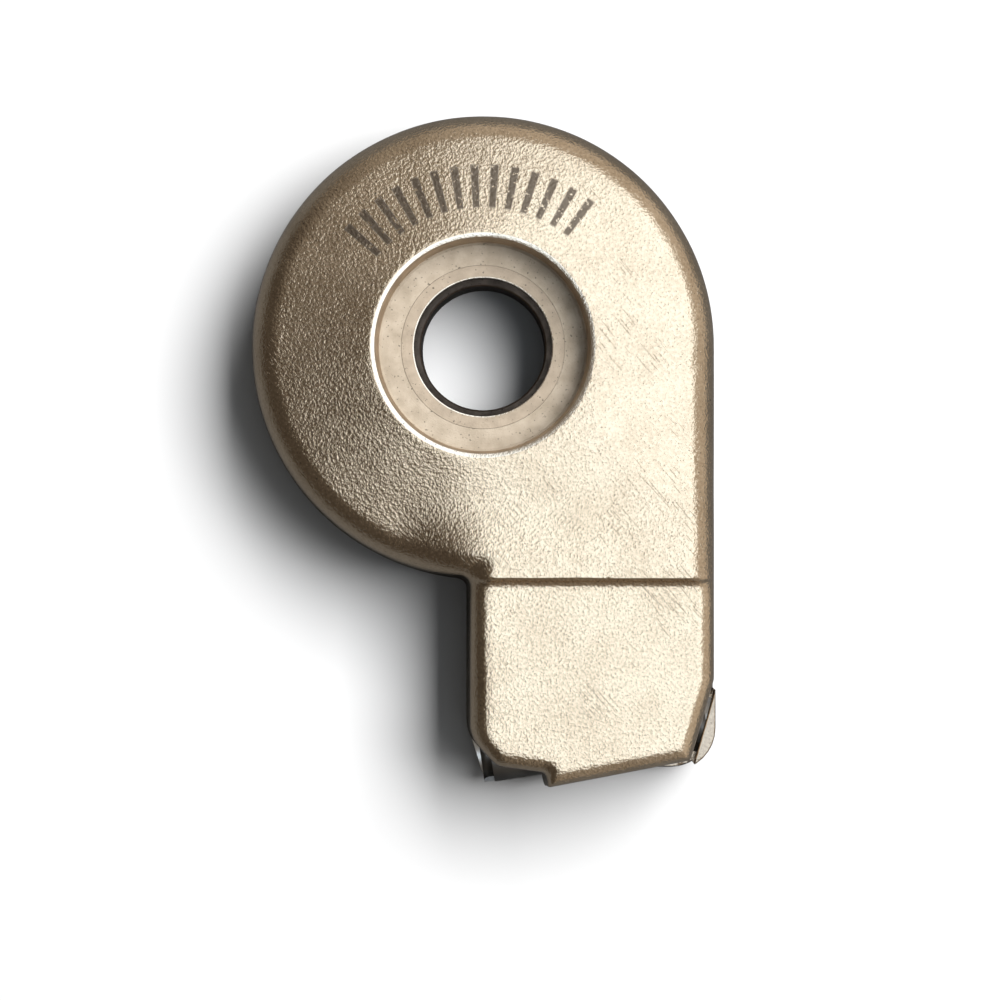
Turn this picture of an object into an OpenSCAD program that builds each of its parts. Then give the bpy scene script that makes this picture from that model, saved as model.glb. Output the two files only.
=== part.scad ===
// Screw-down wire rope clip, P-shaped in plan: a round head with a counterbored screw hole, and a nose
// that runs tangent to the head's right side. A cast upper jaw and a base jaw close on a wire rope that
// crosses the nose at a slant. One cap screw through the head pulls the jaws together, three headed pins
// keep them in line and captive, and a spring round each pin parts them when the screw is loosened.
// The origin is on the screw axis in the base jaw's underside. +Z is up and the nose points along -Y.
// Everything is drawn with the jaws open.

/* [Head] */
// Diameter of the round head
head_d = 24; // [24:0.5:26]
// Height of the clip with its jaws open
clip_h = 8.5; // [8.3:0.1:10]
// Rounding of the head's upper edge
head_round = 1.3; // [0.8:0.1:1.6]
// Slope of the cast outer walls, in degrees
draft = 3; // [1:0.5:4]

/* [Nose] */
// Width of the nose, up to the wall that is tangent to the head
nose_w = 12.9; // [12.5:0.1:13.5]
// Distance from the screw axis to the tip of the nose
nose_reach = 22.75; // [22.7:0.05:24]
// Distance from the screw axis to the middle of the step in the top face
step_y = 11.95; // [11.6:0.05:12]
// Drop of the top face at the step
nose_drop = 0.4; // [0.2:0.1:0.6]
// Rounding of the nose's upper edge
nose_round = 0.8; // [0.5:0.1:1]
// Slope of the nose's front edge, in degrees
front_slope = 10.8; // [8:0.1:12]
// Wall thickness of the base jaw's corner lip
lip_t = 0.35; // [0.3:0.05:0.4]
// Height of the corner lip's top above the base face
lip_top = 4.6; // [4.3:0.1:5]

/* [Screw hole] */
// Bore of the screw sleeve
screw_d = 6.4; // [6.4:0.1:6.6]
// Diameter of the counterbore that takes the screw's head
counterbore_d = 11; // [10.6:0.1:11.4]
// Depth of the counterbore
counterbore_h = 2.3; // [1.8:0.1:2.5]
// Bevel at the counterbore's rim
counterbore_bevel = 0.2; // [0.1:0.05:0.4]
// Bore of the seat bush in the counterbore's floor
seat_d = 7.1; // [6.8:0.1:7.4]
// Outer diameter of the seat bush
seat_outer_d = 8.4; // [8:0.1:8.6]

/* [Jaws] */
// Thickness of the base jaw
base_t = 2.4; // [2.4:0.1:2.8]
// Opening between the jaws
jaw_gap = 0.6; // [0.5:0.05:0.7]
// Distance that the upper jaw comes down when the screw is tightened
jaw_travel = 0.5; // [0.3:0.05:0.5]

/* [Rope] */
// Diameter of the rope channel between the two saddles
rope_channel_d = 2.2; // [2:0.1:2.2]
// Wall thickness of the saddles that line the channel
saddle_t = 0.25; // [0.2:0.05:0.3]
// Slant of the rope channel, in degrees
rope_slope = 8.6; // [7:0.1:10]

/* [Guide pins and springs] */
// Diameter of a guide pin's shank
pin_d = 2; // [1.6:0.1:2]
// Diameter of a guide pin's head
pin_head_d = 3.4; // [3:0.1:3.4]
// Thickness of a guide pin's head
pin_head_t = 0.7; // [0.5:0.1:0.7]
// Distance of the two head pins from the screw axis
pin_radius = 8.6; // [8.5:0.1:8.8]
// Diameter of the spring wire
wire_d = 0.35; // [0.3:0.05:0.4]
// Turns of a spring
spring_turns = 4.5; // [3:0.5:4.5]

/* [Hidden] */
$fn = 64;

eps = 0.01;
running = 0.05;

head_r = head_d / 2;
nose_right = head_r;
nose_left = head_r - nose_w;
body_z = base_t + jaw_gap;
nose_top = clip_h - nose_drop;

// Heights of the pieces on the screw axis
seat_z = clip_h - counterbore_h;
seat_bush_t = 0.8;
web_z = seat_z - seat_bush_t;
guide_bore_d = 8.9;
sleeve_d = guide_bore_d - 2 * running;
sleeve_top = web_z - jaw_travel - 0.2;
flange_d = 11.2;
flange_t = 0.7;

// Pins and springs: the pins are fixed in the upper jaw, and their heads travel in the base jaw's pockets
pin_at = [
    [pin_radius * cos(150), pin_radius * sin(150)],
    [pin_radius * cos(30), pin_radius * sin(30)],
    [nose_left + nose_w / 2, -15.2]];
pin_pocket_z = 1.5;
pin_pocket_d = pin_head_d + 0.4;
pin_head_z = pin_pocket_z - running - pin_head_t;
pin_top = clip_h - 1.5;
spring_top = body_z + 2.4;
spring_d = 2.9;
spring_pocket_d = spring_d + wire_d + 0.55;
spring_sides = 8;
spring_steps = 18;

// The rope channel's axis runs midway between the jaws
rope_mid = [nose_left + nose_w / 2, -20.4, base_t + jaw_gap / 2];
saddle_d = rope_channel_d + 2 * saddle_t;
upper_saddle_ends = [-5.2, 5.5];
lower_saddle_ends = [-5.75, 6.2];

// Plan outlines: each corner is [x, y, radius], and the nose runs back into the head
root_y = -9.5;
front_x = 3.15;
// y of the upper jaw's front edge at x
function front_y(x) = -nose_reach + (x - front_x) * tan(front_slope);
cheek_x = 10.75;
cheek_y = front_y(cheek_x);
cheek_top_y = -17;
base_front_y = -21.8;
base_corner_r = 2.2;
lip_gap = 0.15;
upper_nose = [
    [nose_left, root_y, 0],
    [nose_left, -20, 2],
    [0.6, -21.6, 1.2],
    [2.8, -21.95, 0],
    [cheek_x, cheek_y, 0.2],
    [nose_right, cheek_top_y, 1],
    [nose_right, root_y, 0]];
front_bar = [
    [2.7, -20.5, 0],
    [front_x, -nose_reach, 0.15],
    [cheek_x, cheek_y, 0.2],
    [cheek_x + 0.2, -20.5, 0]];
base_nose = [
    [nose_left, root_y, 0],
    [nose_left, -19.4, 0.5],
    [-0.05, -22.2, 0.15],
    [0.75, -22.2, 0],
    [1.35, base_front_y, 0],
    [nose_right, base_front_y, base_corner_r],
    [nose_right, root_y, 0]];
// Inner side of the corner lip
lip_inside = [
    [0, root_y, 0],
    [0, base_front_y + lip_t, 0],
    [nose_right - lip_t, base_front_y + lip_t, base_corner_r - lip_t],
    [nose_right - lip_t, root_y, 0]];
// Ground that the upper jaw's cheek needs, up to the lip
cheek_ground = [
    [nose_left, 0],
    [nose_right + 1, 0],
    [nose_right + 1, cheek_top_y],
    [nose_right + lip_gap, cheek_top_y],
    [cheek_x + lip_gap, cheek_y],
    [cheek_x, cheek_y - 1],
    [nose_left, cheek_y - 1]];

function unit(v) = v / norm(v);

// Arc that rounds the corner p between its neighbours a and b
function corner(a, p, b, r, steps = 6) =
    let (
        u = unit(a - p),
        v = unit(b - p),
        half = acos(u * v) / 2,
        centre = p + unit(u + v) * r / sin(half),
        from = p + u * r / tan(half) - centre,
        start = atan2(from[1], from[0]),
        turn = sign(cross(p - a, b - p)) * (180 - 2 * half)
    )
    [for (k = [0 : steps]) centre + r * [cos(start + turn * k / steps), sin(start + turn * k / steps)]];

// Outline through the corners, each rounded to its own radius
function rounded(corners) =
    let (
        n = len(corners),
        at = [for (c = corners) [c[0], c[1]]]
    )
    [for (i = [0 : n - 1])
        each corners[i][2] == 0
            ? [at[i]]
            : corner(at[(i + n - 1) % n], at[i], at[(i + 1) % n], corners[i][2])];

// Inset of a drafted wall at a height above its foot
function draft_inset(height) = height * tan(draft);

// Wall profile, [inset, z], of a drafted wall from the foot to the top with a rounded upper edge
function wall_profile(foot, top, r, steps = 6) =
    let (shoulder = draft_inset(top - r - foot))
    [[0, foot],
     for (k = [0 : steps]) [shoulder + r * (1 - cos(90 * k / steps)), top - r + r * sin(90 * k / steps)]];

module at_rope_mid() {
    translate(rope_mid)
        rotate([0, 90, rope_slope])
            children();
}

// Cylinder of diameter d along the rope channel's axis, between two distances from its middle
module rope_cylinder(d, ends) {
    at_rope_mid()
        translate([0, 0, ends[0]])
            cylinder(d = d, h = ends[1] - ends[0]);
}

// One solid of a convex outline with drafted walls and a rounded upper edge
module cast_block(outline, top, r) {
    hull()
        for (level = wall_profile(body_z, top, r))
            translate([0, 0, level[1] - eps])
                linear_extrude(eps)
                    offset(delta = -level[0])
                        polygon(outline);
}

module head_form() {
    profile = wall_profile(body_z, clip_h, head_round, 12);
    rotate_extrude()
        polygon([
            [0, body_z],
            for (level = profile) [head_r - level[0], level[1]],
            [0, clip_h]]);
}

// Full-height shoulder between the head and the step, with the nose's two side walls
module shoulder_form() {
    right = wall_profile(body_z, clip_h, head_round, 12);
    left = wall_profile(body_z, clip_h, nose_round, 8);
    rotate([90, 0, 0])
        linear_extrude(step_y + nose_drop / 2)
            polygon([
                for (level = right) [nose_right - level[0], level[1]],
                for (i = [len(left) - 1 : -1 : 0]) [nose_left + left[i][0], left[i][1]]]);
}

// What is cut away to make the step a ramp at 45 degrees
module step_cut() {
    translate([nose_left - 1, -step_y - nose_drop / 2, nose_top])
        rotate([45, 0, 0])
            cube([nose_w + 2, 3, 3]);
}

module clip_body() {
    color("#b9a68a")
        difference() {
            union() {
                difference() {
                    union() {
                        head_form();
                        shoulder_form();
                    }
                    step_cut();
                }
                cast_block(rounded(upper_nose), nose_top, nose_round);
                cast_block(rounded(front_bar), nose_top, nose_round);
            }
            // Counterbore for the screw's head, with its bevel
            translate([0, 0, seat_z])
                cylinder(d = counterbore_d, h = counterbore_h + 1);
            translate([0, 0, clip_h - counterbore_bevel])
                cylinder(d1 = counterbore_d, d2 = counterbore_d + 4 * counterbore_bevel,
                         h = 2 * counterbore_bevel);
            // Seat of the bush, and the bore that slides on the sleeve
            translate([0, 0, web_z - 1])
                cylinder(d = seat_outer_d, h = seat_bush_t + 2);
            translate([0, 0, body_z - 1])
                cylinder(d = guide_bore_d, h = web_z - body_z + 1);
            for (p = pin_at)
                translate([p[0], p[1], 0]) {
                    cylinder(d = pin_d, h = pin_top);
                    cylinder(d = spring_pocket_d, h = spring_top);
                }
            rope_cylinder(saddle_d, [-12, 12]);
        }
}

module base_jaw() {
    color("#a3937b")
        difference() {
            union() {
                base_head();
                linear_extrude(base_t)
                    polygon(rounded(base_nose));
                // Fills the nook between the head and the tangent wall
                translate([0, -step_y, 0])
                    cube([head_r, step_y, base_t]);
                corner_lip();
            }
            translate([0, 0, -1])
                cylinder(d = sleeve_d, h = base_t + 2);
            translate([0, 0, -1])
                cylinder(d = flange_d, h = flange_t + 1);
            for (p = pin_at)
                translate([p[0], p[1], -1]) {
                    cylinder(d = pin_d + 2 * running, h = base_t + 2);
                    cylinder(d = pin_pocket_d, h = pin_pocket_z + 1);
                }
            rope_cylinder(saddle_d, [-12, 12]);
        }
}

// Lip that stands up outside the upper jaw's cheek, with a rib across the slot between them.
// The rope runs out through an eye in it.
module corner_lip() {
    rib = [nose_right - lip_t - 0.35, -20.15];
    rib_w = 0.25;
    linear_extrude(lip_top)
        difference() {
            polygon(rounded(base_nose));
            difference() {
                polygon(rounded(lip_inside));
                translate(rib)
                    square([1, rib_w]);
            }
            polygon(cheek_ground);
        }
}

// The base jaw's round part, with a small bevel at its lower edge
module base_head() {
    bevel = 0.3;
    rotate_extrude()
        polygon([
            [0, 0],
            [head_r - bevel, 0],
            [head_r, bevel],
            [head_r, base_t],
            [0, base_t]]);
}

// Hardened bush that the screw's head seats on, flush with the counterbore's floor
module seat_bush() {
    color("#a8906c")
        translate([0, 0, web_z])
            difference() {
                cylinder(d = seat_outer_d, h = seat_bush_t);
                translate([0, 0, -1])
                    cylinder(d = seat_d, h = seat_bush_t + 2);
            }
}

// Flanged sleeve pressed into the base jaw from below: the screw passes through it
module screw_sleeve() {
    color("#8d8376")
        difference() {
            union() {
                cylinder(d = sleeve_d, h = sleeve_top);
                cylinder(d = flange_d, h = flange_t);
            }
            translate([0, 0, -1])
                cylinder(d = screw_d, h = sleeve_top + 2);
        }
}

// Tube along the rope channel, of which each saddle is the part beyond its jaw's parting face
module saddle_tube(ends) {
    difference() {
        rope_cylinder(saddle_d, ends);
        rope_cylinder(rope_channel_d, [ends[0] - 1, ends[1] + 1]);
    }
}

module upper_saddle() {
    color("#c4c2bd")
        intersection() {
            saddle_tube(upper_saddle_ends);
            translate([-head_r, -2 * head_r, body_z])
                cube([3 * head_r, 2 * head_r, saddle_d]);
        }
}

module lower_saddle() {
    color("#c4c2bd")
        intersection() {
            saddle_tube(lower_saddle_ends);
            translate([-head_r, -2 * head_r, base_t - saddle_d])
                cube([3 * head_r, 2 * head_r, saddle_d]);
        }
}

// Headed pin: pressed into the upper jaw, sliding in the base jaw
module guide_pin(p) {
    color("#9a9da1")
        translate([p[0], p[1], pin_head_z]) {
            cylinder(d = pin_head_d, h = pin_head_t);
            cylinder(d = pin_d, h = pin_top - pin_head_z);
        }
}

module guide_pin_left() {
    guide_pin(pin_at[0]);
}

module guide_pin_right() {
    guide_pin(pin_at[1]);
}

module guide_pin_nose() {
    guide_pin(pin_at[2]);
}

// Ring of points round the wire at an angle along the helix, at height z
function wire_ring(angle, z) =
    [for (k = [0 : spring_sides - 1])
        let (
            a = 360 * k / spring_sides,
            reach = spring_d / 2 + wire_d / 2 * cos(a)
        )
        [reach * cos(angle), reach * sin(angle), z + wire_d / 2 * sin(a)]];

// Compression spring round a guide pin, between the base jaw's top and the upper jaw's pocket
module jaw_spring(p) {
    length = spring_top - base_t;
    rings = floor(spring_turns * spring_steps);
    low = base_t + wire_d / 2 + eps;
    rise = length - wire_d - 2 * eps;
    points = [for (i = [0 : rings]) each wire_ring(360 * i / spring_steps, low + rise * i / rings)];
    sides = [for (i = [0 : rings - 1], k = [0 : spring_sides - 1])
        let (
            a = i * spring_sides + k,
            b = i * spring_sides + (k + 1) % spring_sides
        )
        [a, a + spring_sides, b + spring_sides, b]];
    start_cap = [for (k = [0 : spring_sides - 1]) k];
    end_cap = [for (k = [spring_sides - 1 : -1 : 0]) rings * spring_sides + k];
    color("#8f9296")
        translate([p[0], p[1], 0])
            polyhedron(points, concat([start_cap], sides, [end_cap]));
}

module spring_left() {
    jaw_spring(pin_at[0]);
}

module spring_right() {
    jaw_spring(pin_at[1]);
}

module spring_nose() {
    jaw_spring(pin_at[2]);
}

clip_body();
base_jaw();
seat_bush();
screw_sleeve();
upper_saddle();
lower_saddle();
guide_pin_left();
guide_pin_right();
guide_pin_nose();
spring_left();
spring_right();
spring_nose();
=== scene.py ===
"""Wire rope clip, P-shaped in plan: a cast upper jaw over a base jaw, round one counterbored screw hole.

Lengths are in millimetres until a mesh is made, and the frame's own metres after that. The origin is on the
screw axis in the base jaw's underside, +Z is up and the nose points along -Y.
"""
import math

import bmesh
import bpy
import numpy as np
from mathutils import Matrix, Vector


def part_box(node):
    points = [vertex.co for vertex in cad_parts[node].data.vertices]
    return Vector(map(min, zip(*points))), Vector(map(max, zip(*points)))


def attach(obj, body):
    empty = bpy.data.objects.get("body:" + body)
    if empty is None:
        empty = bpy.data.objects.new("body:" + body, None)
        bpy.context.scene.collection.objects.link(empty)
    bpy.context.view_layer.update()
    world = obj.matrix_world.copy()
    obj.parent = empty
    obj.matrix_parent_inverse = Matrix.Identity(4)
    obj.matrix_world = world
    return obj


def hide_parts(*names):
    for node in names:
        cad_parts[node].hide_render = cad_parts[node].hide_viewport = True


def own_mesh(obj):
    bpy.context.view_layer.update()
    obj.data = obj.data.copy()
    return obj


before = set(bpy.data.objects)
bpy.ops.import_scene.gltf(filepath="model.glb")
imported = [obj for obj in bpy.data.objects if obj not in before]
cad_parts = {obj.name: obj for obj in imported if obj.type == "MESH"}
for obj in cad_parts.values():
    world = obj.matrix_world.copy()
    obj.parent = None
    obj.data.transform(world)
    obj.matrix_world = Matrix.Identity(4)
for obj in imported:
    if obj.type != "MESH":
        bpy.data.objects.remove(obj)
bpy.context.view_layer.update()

MM = 0.001


def node_box(name):
    """Lowest and highest corner of a CAD node, in mm."""
    low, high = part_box(name)
    return low / MM, high / MM


# ---------------------------------------------------------------- dimensions, mm
body_low, body_high = node_box("clip_body")
bush_low, bush_high = node_box("seat_bush")
sleeve_low, sleeve_high = node_box("screw_sleeve")
BODY_Z = body_low.z
TOP_Z = body_high.z
HEAD_R = body_high.x
SEAT_Z = bush_high.z
WEB_Z = bush_low.z
BUSH_R = bush_high.x
SLEEVE_TOP = sleeve_high.z
FLANGE_R = sleeve_high.x

# Cast upper jaw
NOSE_LEFT = -0.9
NOSE_DROP = 0.4
STEP_Y = -11.95
SHOULDER_Y = -14
DRAFT = math.tan(math.radians(3))
HEAD_ROUND = 1.3
NOSE_ROUND = 0.8
CROWN_START = 5.75
# Slope of the head's crown towards each direction in plan, both in degrees
CROWN_SLOPES = {0: 3, 30: 4, 60: 6.5, 90: 9, 120: 11.5, 150: 12,
                180: 12, 210: 12, 240: 11, 255: 8, 270: 5, 300: 0}
NOOK_FILLET = 0.48
BASE_NOOK_FILLET = 0.4

# Bores on the screw axis, and the sleeve
COUNTERBORE_R = 5.5
COUNTERBORE_FLOOR_R = 5.33
RIM_BEVEL_W = 0.25
RIM_BEVEL_H = 0.067
SEAT_BORE_R = 3.55
SCREW_BORE_R = 3.2
GUIDE_BORE_R = 4.45
SLEEVE_R = 4.4
FLANGE_T = 0.7

# Rope channel: each saddle's ends are measured along it from its middle
ROPE_MID = Vector(((NOSE_LEFT + HEAD_R) / 2, -20.4, 2.7))
ROPE_SLOPE = math.radians(8.6)
SADDLE_R = 1.35
CHANNEL_R = 1.1
UPPER_SADDLE_ENDS = (-5.2, 5.5)
LOWER_SADDLE_ENDS = (-5.75, 6.2)
GROOVE_HALF = 12

# Guide pins and springs
PIN_R = 1.0
PIN_TOP = TOP_Z - 1.5
PIN_HEAD_R = 1.7
PIN_HEAD_T = 0.7
PIN_POCKET_R = 1.9
PIN_POCKET_Z = 1.5
PIN_PLAY = 0.05
PIN_HEAD_Z = PIN_POCKET_Z - PIN_PLAY - PIN_HEAD_T
SPRING_TOP = BODY_Z + 2.4
SPRING_POCKET_R = 1.9
SPRING_R = 1.45
WIRE_R = 0.175
SPRING_TURNS = 4.5

# Base jaw and its corner lip
BASE_T = 2.4
BASE_TOP_ROUND = 0.12
BASE_FOOT_ROUND = 0.3
LIP_T = 0.75
LIP_TOP = 4.6
LIP_EDGE = 0.08
BASE_FRONT_Y = -21.8
BASE_CORNER_R = 2.2
LIP_GAP = 0.17

# Slanted front edge of the upper jaw, from its beak at (FRONT_X, FRONT_Y)
FRONT_SLOPE = math.tan(math.radians(10.8))
FRONT_X = 3.15
FRONT_Y = -22.75

# The cast skin stands back from the exact shape by this much, and its lumps swell and sink about that
SKIN_DEPTH = 0.014
SKIN_LUMPS = 0.007
SKIN_LUMP_SIZE = 1.6

# Box and step of the grid that each casting is meshed on
UPPER_GRID = ((-12.6, -23.4, 2.6), (12.6, 12.6, 9.0), 0.14)
BASE_GRID = ((-12.6, -22.8, -0.5), (12.6, 12.6, 3.1), 0.16)

# How far a cutting tool reaches past what it cuts
CLEAR = 1.0


def front_y(x):
    """y of the upper jaw's slanted front edge at x."""
    return FRONT_Y + (x - FRONT_X) * FRONT_SLOPE


# Plan outlines: x, y and corner radius of each corner
CHEEK_X = 10.75
CHEEK_TOP_Y = -17
ROOT_Y = -9.5
UPPER_NOSE = [
    (NOSE_LEFT, ROOT_Y, 0),
    (NOSE_LEFT, -20, 2),
    (0.6, -21.6, 1.2),
    (2.98, -21.93, 0),
    (FRONT_X, FRONT_Y, 0.15),
    (CHEEK_X, front_y(CHEEK_X), 0.2),
    (HEAD_R, CHEEK_TOP_Y, 1),
    (HEAD_R, ROOT_Y, 0)]
BASE_NOSE = [
    (NOSE_LEFT, ROOT_Y, 0),
    (NOSE_LEFT, -19.4, 0.5),
    (-0.05, -22.2, 0.15),
    (0.75, -22.2, 0),
    (1.35, BASE_FRONT_Y, 0),
    (HEAD_R, BASE_FRONT_Y, BASE_CORNER_R),
    (HEAD_R, ROOT_Y, 0)]
# Inner side of the base jaw's corner lip, and the ground that the upper jaw's cheek needs up to it
LIP_INSIDE = [
    (0, ROOT_Y, 0),
    (0, BASE_FRONT_Y + LIP_T, 0),
    (HEAD_R - LIP_T, BASE_FRONT_Y + LIP_T, BASE_CORNER_R - LIP_T),
    (HEAD_R - LIP_T, ROOT_Y, 0)]
CHEEK_GROUND = [
    (NOSE_LEFT - 1, 0, 0),
    (HEAD_R + 1, 0, 0),
    (HEAD_R + 1, CHEEK_TOP_Y, 0),
    (HEAD_R + LIP_GAP, CHEEK_TOP_Y, 0),
    (CHEEK_X + LIP_GAP, front_y(CHEEK_X), 0),
    (CHEEK_X, front_y(CHEEK_X) - 1, 0),
    (NOSE_LEFT - 1, front_y(CHEEK_X) - 1, 0)]


# ---------------------------------------------------------------- fields and meshes
def smooth(t):
    """0 to 1 with flat ends."""
    t = np.clip(t, 0, 1)
    return t * t * (3 - 2 * t)


def rounded(corners, steps=8):
    """Closed outline through (x, y, radius) corners, each rounded to its own radius."""
    line = []
    for i, (x, y, r) in enumerate(corners):
        p = Vector((x, y))
        if r == 0:
            line.append(p)
            continue
        u = (Vector(corners[i - 1][:2]) - p).normalized()
        v = (Vector(corners[(i + 1) % len(corners)][:2]) - p).normalized()
        half = u.angle(v) / 2
        centre = p + (u + v).normalized() * r / math.sin(half)
        arm = p + u * r / math.tan(half) - centre
        turn = math.copysign(math.pi - 2 * half, -(u.x * v.y - u.y * v.x))
        line += [centre + Matrix.Rotation(turn * k / steps, 2) @ arm for k in range(steps + 1)]
    return line


def outline_distance(x, y, line):
    """Distance in plan to a closed outline, negative inside it."""
    nearest = np.full(np.broadcast(x, y).shape, np.inf)
    inside = np.zeros(nearest.shape, bool)
    for a, b in zip(line, line[1:] + line[:1]):
        d = b - a
        t = np.clip(((x - a.x) * d.x + (y - a.y) * d.y) / d.length_squared, 0, 1)
        nearest = np.minimum(nearest, np.hypot(x - a.x - t * d.x, y - a.y - t * d.y))
        if d.y != 0:
            inside ^= ((a.y > y) != (b.y > y)) & (x < a.x + (y - a.y) * d.x / d.y)
    return np.where(inside, -nearest, nearest)


def soft_min(a, b, k):
    """The lower of two fields, with a fillet of size k where they meet."""
    h = np.clip(0.5 + 0.5 * (b - a) / k, 0, 1)
    return b + (a - b) * h - k * h * (1 - h)


def soft_max(a, b, r):
    """The higher of two fields, with their outer corner rounded to radius r."""
    u, v = np.maximum(a + r, 0), np.maximum(b + r, 0)
    return np.minimum(np.maximum(a, b) + r, 0) + np.hypot(u, v) - r


def lumps(axes, size, seed):
    """Smooth random field between about -1 and 1 on the grid, with lumps of the given size."""
    gain = 2.2
    random = np.random.default_rng(seed)
    counts = [int((a[-1] - a[0]) / size) + 5 for a in axes]
    field = random.uniform(-1, 1, counts)
    for k, a in enumerate(axes):
        t = (a - a[0]) / size + 1
        low = np.floor(t).astype(int)
        f = t - low
        rows = np.zeros((len(a), counts[k]))
        weights = ((1 - f) ** 3 / 6, (3 * f ** 3 - 6 * f ** 2 + 4) / 6,
                   (-3 * f ** 3 + 3 * f ** 2 + 3 * f + 1) / 6, f ** 3 / 6)
        for step, w in enumerate(weights):
            rows[np.arange(len(a)), low - 1 + step] += w
        field = np.moveaxis(np.tensordot(rows, field, (1, k)), 0, k)
    return field * gain


def grid(low, high, step):
    """Axes of a grid over a box, and the same as open x, y and z arrays."""
    axes = [np.arange(a, b + step, step) for a, b in zip(low, high)]
    x, y, z = np.meshgrid(*axes, indexing="ij", sparse=True)
    return axes, x, y, z


def net(field, axes):
    """Points and quads of a field's zero surface, one point in each grid cell that it crosses."""
    inside = field < 0
    cells = tuple(n - 1 for n in field.shape)

    def shifted(array, c):
        return array[tuple(slice(c[k], c[k] + cells[k]) for k in range(3))]

    corners = [(i, j, k) for i in (0, 1) for j in (0, 1) for k in (0, 1)]
    full = sum(shifted(inside, c).astype(np.int8) for c in corners)
    mixed = (full > 0) & (full < 8)
    number = np.full(cells, -1, np.int64)
    number[mixed] = np.arange(mixed.sum())
    points = np.zeros((mixed.sum(), 3))
    hits = np.zeros(mixed.sum())
    for a in corners:
        for k in range(3):
            if a[k]:
                continue
            b = tuple(v + (m == k) for m, v in enumerate(a))
            va, vb = shifted(field, a)[mixed], shifted(field, b)[mixed]
            hit = (va < 0) != (vb < 0)
            t = np.where(hit, va / np.where(hit, va - vb, 1), 0)
            at = np.array(a, float)[None, :] + t[:, None] * np.eye(3)[k]
            points += at * hit[:, None]
            hits += hit
    cell = np.argwhere(mixed)
    step = np.array([a[1] - a[0] for a in axes])
    start = np.array([a[0] for a in axes])
    points = start + (cell + points / hits[:, None]) * step

    quads = []
    for k in range(3):
        u, v = (k + 1) % 3, (k + 2) % 3
        low = np.take(inside, range(field.shape[k] - 1), k)
        high = np.take(inside, range(1, field.shape[k]), k)
        edges = np.argwhere(low != high)
        edges = edges[(edges[:, u] > 0) & (edges[:, v] > 0)
                      & (edges[:, u] < field.shape[u] - 1) & (edges[:, v] < field.shape[v] - 1)]
        outward = low[tuple(edges.T)]
        ring = []
        for du, dv in ((1, 1), (0, 1), (0, 0), (1, 0)):
            c = edges.copy()
            c[:, u] -= du
            c[:, v] -= dv
            ring.append(number[tuple(c.T)])
        quad = np.stack(ring, 1)
        quad[~outward] = quad[~outward][:, ::-1]
        quads.append(quad)
    return points, np.concatenate(quads)


def add_object(name, points, faces):
    """Object from points in mm and faces."""
    mesh = bpy.data.meshes.new(name)
    mesh.from_pydata((np.asarray(points) * MM).tolist(), [], [list(map(int, f)) for f in faces])
    mesh.validate()
    obj = bpy.data.objects.new(name, mesh)
    bpy.context.scene.collection.objects.link(obj)
    return obj


def lathe(name, profile, sides=128):
    """Solid of revolution about the screw axis. The profile's (r, z) points run upwards on the outside."""
    on_axis = 1e-6
    points, faces, rings = [], [], []
    for r, z in profile:
        if r < on_axis:
            rings.append([len(points)])
            points.append((0, 0, z))
            continue
        rings.append(list(range(len(points), len(points) + sides)))
        points += [(r * math.cos(a), r * math.sin(a), z) for a in np.arange(sides) * 2 * math.pi / sides]
    closed = profile[0][0] > on_axis
    for a, b in zip(rings, rings[1:] + (rings[:1] if closed else [])):
        for k in range(sides):
            m = (k + 1) % sides
            loop = [a[k % len(a)], a[m % len(a)], b[m % len(b)], b[k % len(b)]]
            loop = list(dict.fromkeys(loop))
            if len(loop) > 2:
                faces.append(loop)
    return add_object(name, points, faces)


def prism(name, outline, low, high):
    """Solid between two heights over a plan outline, which runs counter-clockwise."""
    n = len(outline)
    points = [(p[0], p[1], z) for z in (low, high) for p in outline]
    faces = [list(range(n - 1, -1, -1)), list(range(n, 2 * n))]
    faces += [[k, (k + 1) % n, n + (k + 1) % n, n + k] for k in range(n)]
    return add_object(name, points, faces)


def moved(obj, matrix):
    """Moves an object's mesh by a matrix that is in mm."""
    m = matrix.copy()
    m.translation = m.translation * MM
    obj.data.transform(m)
    return obj


def cut(obj, tools, operation="DIFFERENCE"):
    """Takes the tools' solids out of an object, or joins them to it. Their faces keep their materials."""
    for tool in tools:
        boolean = obj.modifiers.new("cut", "BOOLEAN")
        boolean.operation = operation
        boolean.solver = "MANIFOLD"
        boolean.material_mode = "TRANSFER"
        boolean.object = tool
    bake_modifiers(obj)
    for tool in tools:
        bpy.data.objects.remove(tool)
    return obj


def bake_modifiers(obj):
    """Replaces an object's mesh with what its modifiers make of it."""
    bpy.context.view_layer.update()
    done = bpy.data.meshes.new_from_object(obj.evaluated_get(bpy.context.evaluated_depsgraph_get()))
    obj.modifiers.clear()
    obj.data = done
    return obj


def soften(obj, width, angle=30):
    """Bevels an object's sharp edges by a width in mm."""
    bevel = obj.modifiers.new("soften", "BEVEL")
    bevel.width = width * MM
    bevel.segments = 3
    bevel.limit_method = "ANGLE"
    bevel.angle_limit = math.radians(angle)
    return bake_modifiers(obj)


def shade(obj, angle=32):
    """Smooth shading, with edges above the angle kept sharp."""
    obj.data.shade_smooth()
    obj.data.set_sharp_from_angle(angle=math.radians(angle))
    return obj


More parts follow.
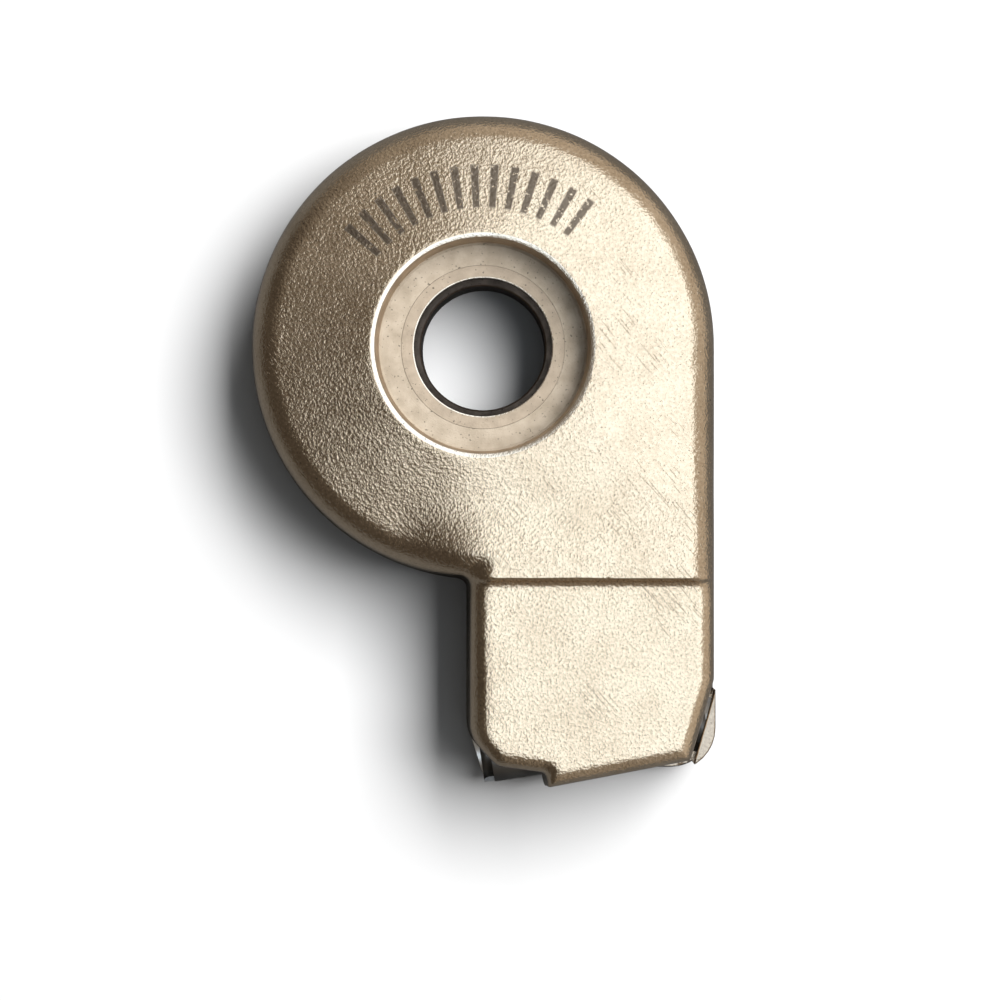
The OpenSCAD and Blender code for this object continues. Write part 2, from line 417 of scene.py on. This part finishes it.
# ---------------------------------------------------------------- materials
class Nodes:
    """Short calls for building a node material. Lengths in it are in metres, in the object's own frame."""

    def __init__(self, name):
        self.material = bpy.data.materials.new(name)
        self.material.use_nodes = True
        self.tree = self.material.node_tree
        self.tree.nodes.clear()
        self.output = self.add("ShaderNodeOutputMaterial")
        self.shader = self.add("ShaderNodeBsdfPrincipled")
        self.link(self.shader.outputs[0], self.output.inputs[0])
        self.place = self.add("ShaderNodeTexCoord").outputs["Object"]

    def add(self, kind, **settings):
        node = self.tree.nodes.new(kind)
        for key, value in settings.items():
            setattr(node, key, value)
        return node

    def link(self, source, target):
        self.tree.links.new(source, target)

    def feed(self, target, value):
        if isinstance(value, bpy.types.NodeSocket):
            self.link(value, target)
        else:
            target.default_value = value

    def noise(self, size, detail=2.0, rough=0.5, place=None, distortion=0.0):
        """Noise between 0 and 1 with features of the given size in mm."""
        node = self.add("ShaderNodeTexNoise")
        node.inputs["Scale"].default_value = 1 / (size * MM)
        node.inputs["Detail"].default_value = detail
        node.inputs["Roughness"].default_value = rough
        node.inputs["Distortion"].default_value = distortion
        self.link(place or self.place, node.inputs["Vector"])
        return node.outputs["Fac"]

    def math(self, operation, a, b=0.0):
        node = self.add("ShaderNodeMath", operation=operation)
        self.feed(node.inputs[0], a)
        self.feed(node.inputs[1], b)
        return node.outputs[0]

    def scaled(self, value, low, high, to_low=0.0, to_high=1.0):
        """value carried from one range to another, and held to it."""
        node = self.add("ShaderNodeMapRange")
        for slot, v in zip(("Value", "From Min", "From Max", "To Min", "To Max"),
                           (value, low, high, to_low, to_high)):
            self.feed(node.inputs[slot], v)
        return node.outputs[0]

    def blend(self, factor, a, b):
        """Colour between a and b."""
        node = self.add("ShaderNodeMix", data_type="RGBA")
        self.feed(node.inputs["Factor"], factor)
        self.feed(node.inputs[6], a)
        self.feed(node.inputs[7], b)
        return node.outputs[2]

    def bump(self, height, distance, under=None):
        """Normal of a height field that is distance mm deep."""
        node = self.add("ShaderNodeBump")
        node.inputs["Strength"].default_value = 1
        node.inputs["Distance"].default_value = distance * MM
        self.link(height, node.inputs["Height"])
        if under:
            self.link(under, node.inputs["Normal"])
        return node.outputs[0]

    def axis_distance(self):
        """Distance from the screw axis."""
        split = self.add("ShaderNodeSeparateXYZ")
        self.link(self.place, split.inputs[0])
        squares = [self.math("MULTIPLY", split.outputs[k], split.outputs[k]) for k in (0, 1)]
        return self.math("SQRT", self.math("ADD", *squares))

    def turned(self, width):
        """Fine rings round the screw axis, between 0 and 1, of about the given width in mm."""
        along = self.add("ShaderNodeTexNoise", noise_dimensions="1D")
        along.inputs["Scale"].default_value = 1 / (width * MM)
        along.inputs["Detail"].default_value = 2
        self.link(self.axis_distance(), along.inputs["W"])
        return along.outputs["Fac"]

    def polar(self):
        """Distance from the screw axis, and the direction from it in degrees."""
        split = self.add("ShaderNodeSeparateXYZ")
        self.link(self.place, split.inputs[0])
        turn = self.math("ARCTAN2", split.outputs[1], split.outputs[0])
        return self.axis_distance(), self.math("MULTIPLY", turn, 180 / math.pi)

    def etched_bars(self):
        """1 in a row of plain dark bars, all alike, on an arc round the screw hole, and 0 elsewhere."""
        first, last, count = 50, 142, 14
        share, blur = 0.2, 0.04
        inner, outer, edge = 7.0 * MM, 9.2 * MM, 0.06 * MM
        r, turn = self.polar()
        along = self.math("DIVIDE", self.math("SUBTRACT", turn, first), (last - first) / count)
        off_middle = self.math("ABSOLUTE", self.math("SUBTRACT", self.math("FRACT", along), 0.5))
        bar = self.scaled(off_middle, share + blur, share - blur)
        in_row = self.math("MULTIPLY", self.math("GREATER_THAN", turn, first),
                           self.math("LESS_THAN", turn, last))
        in_ring = self.math("MULTIPLY", self.scaled(r, inner - edge, inner + edge),
                            self.scaled(r, outer + edge, outer - edge))
        worn = self.scaled(self.noise(0.2, 2, 0.6), 0.3, 0.42)
        in_arc = self.math("MULTIPLY", in_row, in_ring)
        return self.math("MULTIPLY", self.math("MULTIPLY", bar, worn), in_arc)

    def scratches(self):
        """Fine straight scratches, in patches: noise drawn out along one slanted direction."""
        slant, stretch = math.radians(-50), 20
        turned = self.add("ShaderNodeMapping", vector_type="TEXTURE")
        turned.inputs["Rotation"].default_value = (0, 0, slant)
        turned.inputs["Scale"].default_value = (stretch, 1, 1)
        self.link(self.place, turned.inputs["Vector"])
        lines = self.scaled(self.noise(0.07, 0, 0.5, turned.outputs[0]), 0.3, 0.22)
        return self.math("MULTIPLY", lines, self.scaled(self.noise(3.2, 1, 0.5), 0.5, 0.62))

    def outward(self):
        """Direction away from the screw axis."""
        flat = self.add("ShaderNodeVectorMath", operation="MULTIPLY")
        flat.inputs[1].default_value = (1, 1, 0)
        self.link(self.place, flat.inputs[0])
        unit = self.add("ShaderNodeVectorMath", operation="NORMALIZE")
        self.link(flat.outputs[0], unit.inputs[0])
        return unit.outputs[0]

    def metal(self, colour, rough, normal=None):
        self.shader.inputs["Metallic"].default_value = 1
        self.feed(self.shader.inputs["Base Color"], colour)
        self.feed(self.shader.inputs["Roughness"], rough)
        if normal:
            self.link(normal, self.shader.inputs["Normal"])
        return self.material


def rgba(r, g, b):
    return (r, g, b, 1.0)


def cast_skin(name, light, dark, grain=1.0, marked=False):
    """Blasted casting: pebbled, paler on the lumps and darker in the pits, with a few fine scratches."""
    n = Nodes(name)
    pebbles = n.noise(0.15, 2, 0.55)
    fine = n.noise(0.06, 1, 0.5)
    patches = n.noise(2.6, 3, 0.55)
    tone = n.math("ADD", n.math("MULTIPLY", pebbles, 0.6), n.math("MULTIPLY", patches, 0.4))
    colour = n.blend(n.scaled(tone, 0.36, 0.62), dark, light)
    pits = n.scaled(n.noise(0.1, 1, 0.5), 0.31, 0.26)
    colour = n.blend(pits, colour, rgba(*(0.4 * v for v in dark[:3])))
    rough = n.scaled(patches, 0.3, 0.7, 0.14, 0.18)
    if marked:
        bars = n.etched_bars()
        colour = n.blend(n.math("MULTIPLY", bars, 0.8), colour, rgba(0.085, 0.062, 0.048))
        rough = n.math("ADD", rough, n.math("MULTIPLY", bars, 0.2))
    normal = n.bump(fine, 0.004 * grain, n.bump(pebbles, 0.033 * grain))
    return n.metal(colour, rough, n.bump(n.scratches(), 0.009 * grain, normal))


def machined(name, light, dark, ring_width, depth, rough, turned=0.0, haze=0.0):
    """Turned steel: fine rings about the screw axis spread its gloss outwards. It has stains and specks.

    turned is how far the rings stretch the gloss, and haze is the share of the face that is matt.
    """
    n = Nodes(name)
    rings = n.turned(ring_width)
    stains = n.noise(0.9, 3, 0.6)
    colour = n.blend(n.scaled(stains, 0.35, 0.7), light, dark)
    specks = n.scaled(n.noise(0.13, 2, 0.6), 0.34, 0.29)
    colour = n.blend(specks, colour, rgba(*(0.3 * v for v in dark[:3])))
    grain = n.noise(0.1, 2)
    n.shader.inputs["Anisotropic"].default_value = turned
    n.link(n.outward(), n.shader.inputs["Tangent"])
    normal = n.bump(grain, 0.012, n.bump(rings, depth))
    material = n.metal(colour, n.scaled(stains, 0.3, 0.7, *rough), normal)
    n.shader.inputs["Metallic"].default_value = 1 - haze
    return material


def smooth_steel(name, light, dark, rough):
    """Drawn or ground steel: nearly smooth, with fine scuffs."""
    n = Nodes(name)
    scuffs = n.noise(0.22, 4, 0.65, distortion=0.6)
    film = n.noise(1.4, 2, 0.5)
    colour = n.blend(n.scaled(film, 0.35, 0.65), light, dark)
    return n.metal(colour, n.scaled(scuffs, 0.3, 0.7, *rough), n.bump(scuffs, 0.006))


SKIN = cast_skin("cast_skin", rgba(0.82, 0.67, 0.50), rgba(0.62, 0.49, 0.35), marked=True)
# The base jaw's skin is a greyer, less grainy copy of the upper jaw's. It is also darker, and that darkening
# is painted shade on its lip and corner.
SKIN_BASE_PAINTED_SHADE = cast_skin("cast_base", rgba(0.49, 0.41, 0.325), rgba(0.38, 0.315, 0.25), grain=0.5)
BORED = machined("bored_face", rgba(0.37, 0.31, 0.24), rgba(0.29, 0.24, 0.18),
                 ring_width=0.05, depth=0.004, rough=(0.46, 0.54), turned=0.9, haze=0.3)
RIM = machined("bored_rim", rgba(0.88, 0.79, 0.67), rgba(0.78, 0.68, 0.56),
               ring_width=0.05, depth=0.001, rough=(0.14, 0.2))
WALL = machined("bored_wall", rgba(0.50, 0.38, 0.26), rgba(0.36, 0.27, 0.19),
                ring_width=0.05, depth=0.002, rough=(0.4, 0.5), haze=0.05)
BUSH = machined("turned_bush", rgba(0.355, 0.29, 0.22), rgba(0.275, 0.225, 0.17),
                ring_width=0.04, depth=0.003, rough=(0.46, 0.54), turned=0.9, haze=0.27)
BUSH_BORE = machined("bush_bore", rgba(0.30, 0.22, 0.155), rgba(0.18, 0.13, 0.095),
                     ring_width=0.04, depth=0.003, rough=(0.35, 0.45))
# Painted shade: the sleeve is near black so that its face deep in the bore looks shaded.
SLEEVE_PAINTED_SHADE = machined("turned_sleeve_painted_shade", rgba(0.12, 0.095, 0.077), rgba(0.07, 0.056, 0.046),
                  ring_width=0.04, depth=0.003, rough=(0.4, 0.5))
# Painted shade: the rope channel's lining is near black so that it and the slots beside the lip look shaded.
SADDLE_PAINTED_SHADE = smooth_steel("saddle_steel", rgba(0.16, 0.155, 0.148), rgba(0.105, 0.1, 0.097), rough=(0.32, 0.45))
# Painted light: the base jaw's channel face is pale so that its end at the shaded left corner looks lit.
GROOVE_PAINTED_LIGHT = smooth_steel("groove_face_painted_light", rgba(0.82, 0.81, 0.79), rgba(0.66, 0.65, 0.63), rough=(0.32, 0.45))
PIN = smooth_steel("pin_steel", rgba(0.66, 0.66, 0.67), rgba(0.52, 0.52, 0.53), rough=(0.25, 0.4))
SPRING = smooth_steel("spring_steel", rgba(0.55, 0.55, 0.57), rgba(0.42, 0.42, 0.44), rough=(0.2, 0.32))


# ---------------------------------------------------------------- upper jaw
def nook_fillet(x, widest):
    """Fillet between head and nose: wide in the nook, and next to none where the nose is tangent."""
    least, fade_from, fade_length = 0.02, 6, 5
    return least + widest * smooth((fade_from - x) / fade_length)


def clip_body_field(x, y, z, axes):
    """Field of the cast upper jaw before any hole is bored."""
    head = np.hypot(x, y) - HEAD_R
    shoulder = outline_distance(x, y, rounded([
        (NOSE_LEFT, 0, 0), (NOSE_LEFT, SHOULDER_Y, 0), (HEAD_R, SHOULDER_Y, 0), (HEAD_R, 0, 0)]))
    nose = outline_distance(x, y, rounded(UPPER_NOSE))
    plan = soft_min(head, np.minimum(shoulder, nose), nook_fillet(x, NOOK_FILLET))
    ramp = smooth((STEP_Y + NOSE_DROP / 2 - y) / NOSE_DROP)
    top = TOP_Z - NOSE_DROP * ramp - crown_drop(x, y)
    # The edge's rounding changes from the head's to the nose's over 2 mm about the step
    edge = HEAD_ROUND + (NOSE_ROUND - HEAD_ROUND) * smooth((STEP_Y + 1 - y) / 2)
    walls = plan + DRAFT * (z - BODY_Z)
    solid = soft_max(walls, z - top, edge)
    skin = SKIN_LUMPS * lumps(axes, SKIN_LUMP_SIZE, seed=5) + SKIN_DEPTH
    return np.maximum(solid + skin, BODY_Z - z)


def crown_drop(x, y):
    """How far the head's top lies below the flat: it slopes down all round, except towards the nose."""
    fade_y, fade_y_length = -5.5, 5.5
    fade_x, fade_x_length = -4.5, 5
    drop = np.zeros(np.broadcast(x, y).shape)
    for turn in range(0, max(CROWN_SLOPES), 6):
        slope = np.interp(turn, list(CROWN_SLOPES), list(CROWN_SLOPES.values()))
        a = math.radians(turn)
        outwards = x * math.cos(a) + y * math.sin(a)
        drop = np.maximum(drop, math.tan(math.radians(slope)) * (outwards - CROWN_START))
    on_nose = smooth((fade_y - y) / fade_y_length) * smooth((x - fade_x) / fade_x_length)
    return drop * (1 - on_nose)


def screw_hole_tools():
    """What is bored out on the screw axis of the upper jaw."""
    fillet = 0.12
    taper = (COUNTERBORE_R - COUNTERBORE_FLOOR_R) / (TOP_Z - RIM_BEVEL_H - SEAT_Z)
    bore = lathe("bore", [
        (0, BODY_Z - CLEAR),
        (GUIDE_BORE_R, BODY_Z - CLEAR),
        (GUIDE_BORE_R, WEB_Z),
        (BUSH_R, WEB_Z),
        (BUSH_R, SEAT_Z),
        (COUNTERBORE_FLOOR_R - fillet, SEAT_Z),
        (COUNTERBORE_FLOOR_R, SEAT_Z + fillet),
        (0, SEAT_Z + fillet)])
    wall = lathe("wall", [
        (0, SEAT_Z + fillet),
        (COUNTERBORE_FLOOR_R + taper * fillet, SEAT_Z + fillet),
        (COUNTERBORE_R, TOP_Z - RIM_BEVEL_H),
        (COUNTERBORE_R, TOP_Z + CLEAR),
        (0, TOP_Z + CLEAR)])
    rim = lathe("rim", [
        (0, TOP_Z - RIM_BEVEL_H),
        (COUNTERBORE_R, TOP_Z - RIM_BEVEL_H),
        (COUNTERBORE_R + RIM_BEVEL_W * (1 + CLEAR / RIM_BEVEL_H), TOP_Z + CLEAR),
        (0, TOP_Z + CLEAR)])
    for tool, material in ((bore, BORED), (wall, WALL), (rim, RIM)):
        tool.data.materials.append(material)
    return [bore, wall, rim]


def cylinder(name, r, low, high, x=0, y=0, sides=48):
    """Upright cylinder at (x, y)."""
    solid = lathe(name, [(0, low), (r, low), (r, high), (0, high)], sides)
    return moved(solid, Matrix.Translation((x, y, 0)))


def along_rope(obj):
    """Lays a solid that was made along Z on the rope channel's axis."""
    turn = Matrix.Rotation(ROPE_SLOPE, 4, "Z") @ Matrix.Rotation(math.pi / 2, 4, "Y")
    return moved(obj, Matrix.Translation(ROPE_MID) @ turn)


def groove_tool(material):
    """What the rope channel's lining takes out of a jaw."""
    tool = along_rope(cylinder("groove", SADDLE_R, -GROOVE_HALF, GROOVE_HALF, sides=64))
    tool.data.materials.append(material)
    return tool


def pin_places():
    """Name and plan position, in mm, of each guide pin."""
    for place in ("left", "right", "nose"):
        low, high = node_box("guide_pin_" + place)
        yield place, (low.x + high.x) / 2, (low.y + high.y) / 2


def finished(obj, body, node, angle=32):
    """Shades a piece, puts it on its body and hides the CAD node whose place it takes."""
    shade(obj, angle)
    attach(obj, body)
    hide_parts(node)
    return obj


def make_upper_jaw():
    axes, x, y, z = grid(*UPPER_GRID)
    points, quads = net(clip_body_field(x, y, z, axes), axes)
    body = add_object("upper_jaw", points, quads)
    body.data.materials.append(SKIN)
    tools = screw_hole_tools()
    for place, px, py in pin_places():
        for r, top in ((PIN_R, PIN_TOP), (SPRING_POCKET_R, SPRING_TOP)):
            tool = cylinder("hole", r, 0, top, px, py)
            tool.data.materials.append(BORED)
            tools.append(tool)
    cut(body, tools + [groove_tool(BORED)])
    finished(body, "upper", "clip_body")


make_upper_jaw()


# ---------------------------------------------------------------- base jaw
def base_jaw_field(x, y, z, axes):
    """Field of the base jaw's plate before any hole is bored."""
    head = np.hypot(x, y) - HEAD_R
    nose = outline_distance(x, y, rounded(BASE_NOSE))
    flank = outline_distance(x, y, rounded([
        (0, STEP_Y, 0), (HEAD_R, STEP_Y, 0), (HEAD_R, 0, 0), (0, 0, 0)]))
    plan = soft_min(head, np.minimum(nose, flank), nook_fillet(x, BASE_NOOK_FILLET))
    skin = SKIN_LUMPS * lumps(axes, SKIN_LUMP_SIZE, seed=9) + SKIN_DEPTH
    upper = soft_max(plan + skin, z - BASE_T, BASE_TOP_ROUND)
    return soft_max(upper, -z, BASE_FOOT_ROUND)


def corner_lip():
    """Lip outside the upper jaw's cheek, with a narrow slot between them."""
    root = 0.4
    lip = prism("lip", rounded(BASE_NOSE), BASE_T - root, LIP_TOP)
    inside = prism("inside", rounded(LIP_INSIDE), 0, LIP_TOP + CLEAR)
    ground = prism("ground", list(reversed(rounded(CHEEK_GROUND))), -2 * CLEAR, LIP_TOP + 3 * CLEAR)
    cut(lip, [inside, ground])
    lip.data.materials.clear()
    # The lip takes the base jaw's skin, whose darker tone is painted shade.
    lip.data.materials.append(SKIN_BASE_PAINTED_SHADE)
    return soften(lip, LIP_EDGE)


def make_lower_jaw():
    axes, x, y, z = grid(*BASE_GRID)
    points, quads = net(base_jaw_field(x, y, z, axes), axes)
    jaw = add_object("lower_jaw", points, quads)
    # Painted shade: the base jaw's skin is darker than the upper jaw's.
    jaw.data.materials.append(SKIN_BASE_PAINTED_SHADE)
    cut(jaw, [corner_lip()], "UNION")
    tools = [cylinder("seat", SLEEVE_R, -CLEAR, BASE_T + CLEAR, sides=128),
             cylinder("recess", FLANGE_R, -CLEAR, FLANGE_T, sides=128)]
    for place, px, py in pin_places():
        tools.append(cylinder("hole", PIN_R + PIN_PLAY, -CLEAR, BASE_T + CLEAR, px, py))
        tools.append(cylinder("pocket", PIN_POCKET_R, -CLEAR, PIN_POCKET_Z, px, py))
    for tool in tools:
        tool.data.materials.append(BORED)
    # The base jaw's channel face is pale: painted light.
    cut(jaw, tools + [groove_tool(GROOVE_PAINTED_LIGHT)])
    finished(jaw, "base", "base_jaw")


make_lower_jaw()


# ---------------------------------------------------------------- bush and sleeve on the screw axis
def paint_bore(obj, r, material):
    """Gives an object's bore walls, up to radius r, their own material."""
    steep = 0.3
    obj.data.materials.append(material)
    for face in obj.data.polygons:
        if abs(face.normal.z) < steep and face.center.xy.length < r * MM:
            face.material_index = len(obj.data.materials) - 1


def make_bush():
    """Ring pressed into the web, flush with the counterbore's floor, with a fine bright edge at its bore."""
    edge_w, edge_h, seam = 0.05, 0.015, 0.015
    inner_chamfer, outer_chamfer, play = 0.15, 0.1, 0.01
    bush = lathe("bush", [
        (SEAT_BORE_R + inner_chamfer, WEB_Z),
        (BUSH_R - outer_chamfer, WEB_Z),
        (BUSH_R - play, WEB_Z + outer_chamfer),
        (BUSH_R - play, SEAT_Z - seam),
        (BUSH_R - play - seam, SEAT_Z),
        (SEAT_BORE_R + edge_w, SEAT_Z),
        (SEAT_BORE_R, SEAT_Z - edge_h),
        (SEAT_BORE_R, WEB_Z + inner_chamfer)])
    bush.data.materials.append(BUSH)
    bush.data.materials.append(RIM)
    for face in bush.data.polygons:
        if 0.5 < face.normal.z < 0.99 and face.center.xy.length < (SEAT_BORE_R + edge_w) * MM:
            face.material_index = 1
    paint_bore(bush, SEAT_BORE_R + 0.2, BUSH_BORE)
    finished(bush, "upper", "seat_bush")


def make_sleeve():
    """Flanged sleeve, pressed into the base jaw from below."""
    lead_in, chamfer, flange_round = 0.3, 0.15, 0.12
    root, edge_w, edge_h = 0.05, 0.08, 0.05
    sleeve = lathe("sleeve", [
        (SCREW_BORE_R + lead_in, 0),
        (FLANGE_R - flange_round, 0),
        (FLANGE_R, flange_round),
        (FLANGE_R, FLANGE_T),
        (SLEEVE_R + root, FLANGE_T),
        (SLEEVE_R, FLANGE_T + root),
        (SLEEVE_R, SLEEVE_TOP - chamfer),
        (SLEEVE_R - chamfer, SLEEVE_TOP),
        (SCREW_BORE_R + edge_w, SLEEVE_TOP),
        (SCREW_BORE_R, SLEEVE_TOP - edge_h),
        (SCREW_BORE_R, lead_in)])
    # The sleeve's near-black colour is painted shade in the bore.
    sleeve.data.materials.append(SLEEVE_PAINTED_SHADE)
    finished(sleeve, "base", "screw_sleeve")


make_bush()
make_sleeve()


# ---------------------------------------------------------------- rope saddles
def saddle(name, side, ends):
    """Half of the channel's lining, with flared ends: side is 1 above the rope and -1 below it."""
    steps = 24
    flare, flare_length = 0.12, 0.3
    mid_flare, mid_length = 0.045, 0.1
    half_split, play = 0.3, 0.005
    low, high = ends
    stations = [(low, flare), (low + mid_length, mid_flare), (low + flare_length, 0),
                (high - flare_length, 0), (high - mid_length, mid_flare), (high, flare)]
    points = []
    for at, widen in stations:
        for r, order in ((SADDLE_R - play, 1), (CHANNEL_R + widen, -1)):
            start = math.asin(half_split / r)
            turns = [start + (math.pi - 2 * start) * k / steps for k in range(steps + 1)][::order]
            points += [(-side * r * math.sin(a), r * math.cos(a), at) for a in turns]
    n = 2 * (steps + 1)
    faces = [[i * n + k, i * n + (k + 1) % n, (i + 1) * n + (k + 1) % n, (i + 1) * n + k]
             for i in range(len(stations) - 1) for k in range(n)]
    for first in (0, (len(stations) - 1) * n):
        faces += [[first + k, first + k + 1, first + n - 2 - k, first + n - 1 - k] for k in range(steps)]
    obj = along_rope(add_object(name, points, faces))
    mesh = bmesh.new()
    mesh.from_mesh(obj.data)
    bmesh.ops.recalc_face_normals(mesh, faces=mesh.faces)
    mesh.to_mesh(obj.data)
    # The lining's near-black colour is painted shade.
    obj.data.materials.append(SADDLE_PAINTED_SHADE)
    return obj


finished(saddle("saddle_above", 1, UPPER_SADDLE_ENDS), "upper", "upper_saddle")
finished(saddle("saddle_below", -1, LOWER_SADDLE_ENDS), "base", "lower_saddle")


# ---------------------------------------------------------------- guide pins and springs
def make_pin(place, x, y):
    """Headed pin: the head has a rounded face and a small centre mark, and the shank a chamfered tip."""
    edge, back_edge, tip = 0.12, 0.05, 0.15
    mark_r, mark_depth = 0.25, 0.12
    head_top = PIN_HEAD_Z + PIN_HEAD_T
    pin = lathe("pin_" + place, [
        (0, PIN_HEAD_Z + mark_depth),
        (mark_r, PIN_HEAD_Z),
        (PIN_HEAD_R - edge, PIN_HEAD_Z),
        (PIN_HEAD_R - edge * 0.3, PIN_HEAD_Z + edge * 0.3),
        (PIN_HEAD_R, PIN_HEAD_Z + edge),
        (PIN_HEAD_R, head_top - back_edge),
        (PIN_HEAD_R - back_edge, head_top),
        (PIN_R, head_top),
        (PIN_R, PIN_TOP - tip),
        (PIN_R - tip, PIN_TOP),
        (0, PIN_TOP)], 48)
    moved(pin, Matrix.Translation((x, y, 0)))
    pin.data.materials.append(PIN)
    finished(pin, "upper", "guide_pin_" + place)


def make_spring(place, x, y):
    """Compression spring with closed, ground ends. In the clip it shortens as the jaws close; here it is
    made at one length.
    """
    sides, steps = 12, 32
    play = 0.01
    low, high = BASE_T + play, SPRING_TOP - play
    closed = 0.8
    rings = int(SPRING_TURNS * steps)
    open_turns = SPRING_TURNS - 2 * closed
    end_rise = 2 * WIRE_R * closed
    points = []
    for i in range(rings + 1):
        turn = i / steps
        open_height = high - low - 2 * WIRE_R - 2 * end_rise
        middle = open_height * min(max(turn - closed, 0), open_turns) / open_turns
        lift = 2 * WIRE_R * (min(turn, closed) + max(turn - closed - open_turns, 0))
        around = 2 * math.pi * turn
        for k in range(sides):
            a = 2 * math.pi * k / sides
            reach = SPRING_R + WIRE_R * math.cos(a)
            level = low + WIRE_R * 0.5 + lift + middle + WIRE_R * math.sin(a)
            ground = min(max(level, low), high)
            points.append((x + reach * math.cos(around), y + reach * math.sin(around), ground))
    faces = [[i * sides + k, i * sides + (k + 1) % sides,
              (i + 1) * sides + (k + 1) % sides, (i + 1) * sides + k]
             for i in range(rings) for k in range(sides)]
    faces.append(list(range(sides)))
    faces.append([rings * sides + k for k in reversed(range(sides))])
    spring = add_object("coil_" + place, points, [face[::-1] for face in faces])
    spring.data.materials.append(SPRING)
    finished(spring, "base", "spring_" + place)
    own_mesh(spring)


for place, x, y in pin_places():
    make_pin(place, x, y)
    make_spring(place, x, y)


# ---------------------------------------------------------------- floor, light and camera
def make_floor(name, tone):
    """Plain floor of the given tone, 3 m square, that hides nothing from below."""
    half = 1.5
    corners = [(-half, -half, 0), (half, -half, 0), (half, half, 0), (-half, half, 0)]
    mesh = bpy.data.meshes.new(name)
    mesh.from_pydata(corners, [], [(0, 1, 2, 3)])
    floor = bpy.data.objects.new(name, mesh)
    bpy.context.scene.collection.objects.link(floor)
    n = Nodes(name)
    n.shader.inputs["Base Color"].default_value = rgba(tone, tone, tone)
    n.shader.inputs["Roughness"].default_value = 0.9
    sides = n.add("ShaderNodeMixShader")
    n.link(n.add("ShaderNodeNewGeometry").outputs["Backfacing"], sides.inputs[0])
    n.link(n.shader.outputs[0], sides.inputs[1])
    n.link(n.add("ShaderNodeBsdfTransparent").outputs[0], sides.inputs[2])
    n.link(sides.outputs[0], n.output.inputs[0])
    mesh.materials.append(n.material)
    return floor


def add_softbox(name, centre, size, turn, radiance, colour, diffuse_only=False):
    """Softbox that faces straight down, 0.6 m up. Its place and size are shares of that height.

    The turn is in degrees. A light that is diffuse only lights matt faces and shows in no reflection.
    """
    height = 0.6
    data = bpy.data.lights.new(name, "AREA")
    data.shape = "RECTANGLE"
    data.size, data.size_y = (height * s for s in size)
    data.energy = radiance * math.pi * data.size * data.size_y
    data.color = colour
    lamp = bpy.data.objects.new(name, data)
    lamp.location = (height * centre[0], height * centre[1], height)
    lamp.rotation_euler = (0, 0, math.radians(turn))
    lamp.visible_glossy = not diffuse_only
    bpy.context.scene.collection.objects.link(lamp)


def make_stage():
    """An overexposed floor for the camera, a dimmer one for the reflections, and two softboxes."""
    just_below = -0.0002
    seen = make_floor("floor", 0.2)
    seen.visible_glossy = False
    seen.visible_diffuse = False
    seen.visible_shadow = False
    mirrored = make_floor("floor_in_reflections", 0.03)
    mirrored.visible_camera = False
    mirrored.location.z = just_below
    add_softbox("softbox", centre=(0.27, 0.12), size=(0.82, 1.15), turn=-20,
                radiance=1.2, colour=(0.9, 1.06, 1.22))
    add_softbox("softbox_on_floor", centre=(0.58, 0.42), size=(0.7, 1.0), turn=0,
                radiance=54, colour=(1.0, 1.0, 1.0), diffuse_only=True)


def make_world():
    """Dim warm room: pale on the right and behind, dark on the left."""
    pale_side = (0.94, 0.34, 0)
    dark_end, pale_end = -0.6, 0.5
    world = bpy.data.worlds.new("studio")
    bpy.context.scene.world = world
    world.use_nodes = True
    tree = world.node_tree
    place = tree.nodes.new("ShaderNodeTexCoord")
    side = tree.nodes.new("ShaderNodeVectorMath")
    side.operation = "DOT_PRODUCT"
    side.inputs[1].default_value = pale_side
    spread = tree.nodes.new("ShaderNodeMapRange")
    spread.inputs["From Min"].default_value = dark_end
    spread.inputs["From Max"].default_value = pale_end
    ramp = tree.nodes.new("ShaderNodeValToRGB")
    tree.links.new(place.outputs["Generated"], side.inputs[0])
    tree.links.new(side.outputs["Value"], spread.inputs["Value"])
    tree.links.new(spread.outputs[0], ramp.inputs[0])
    tree.links.new(ramp.outputs[0], tree.nodes["Background"].inputs[0])
    ramp.color_ramp.elements[0].position = 0.0
    ramp.color_ramp.elements[0].color = rgba(0.077, 0.066, 0.054)
    ramp.color_ramp.elements[1].position = 1.0
    ramp.color_ramp.elements[1].color = rgba(0.57, 0.52, 0.455)


def make_camera():
    """Straight above, with the nose towards the picture's lower edge."""
    aim = Vector((0.87, -7.83, TOP_Z))
    distance = 190.0
    view_width = 50.58
    data = bpy.data.cameras.new("camera")
    data.sensor_width = 36
    data.lens = data.sensor_width * distance / view_width
    data.clip_start, data.clip_end = 0.01, 20
    camera = bpy.data.objects.new("camera", data)
    camera.location = (aim + Vector((0, 0, distance))) * MM
    bpy.context.scene.collection.objects.link(camera)
    bpy.context.scene.camera = camera


make_stage()
make_world()
make_camera()
bpy.context.scene.view_settings.view_transform = "Standard"
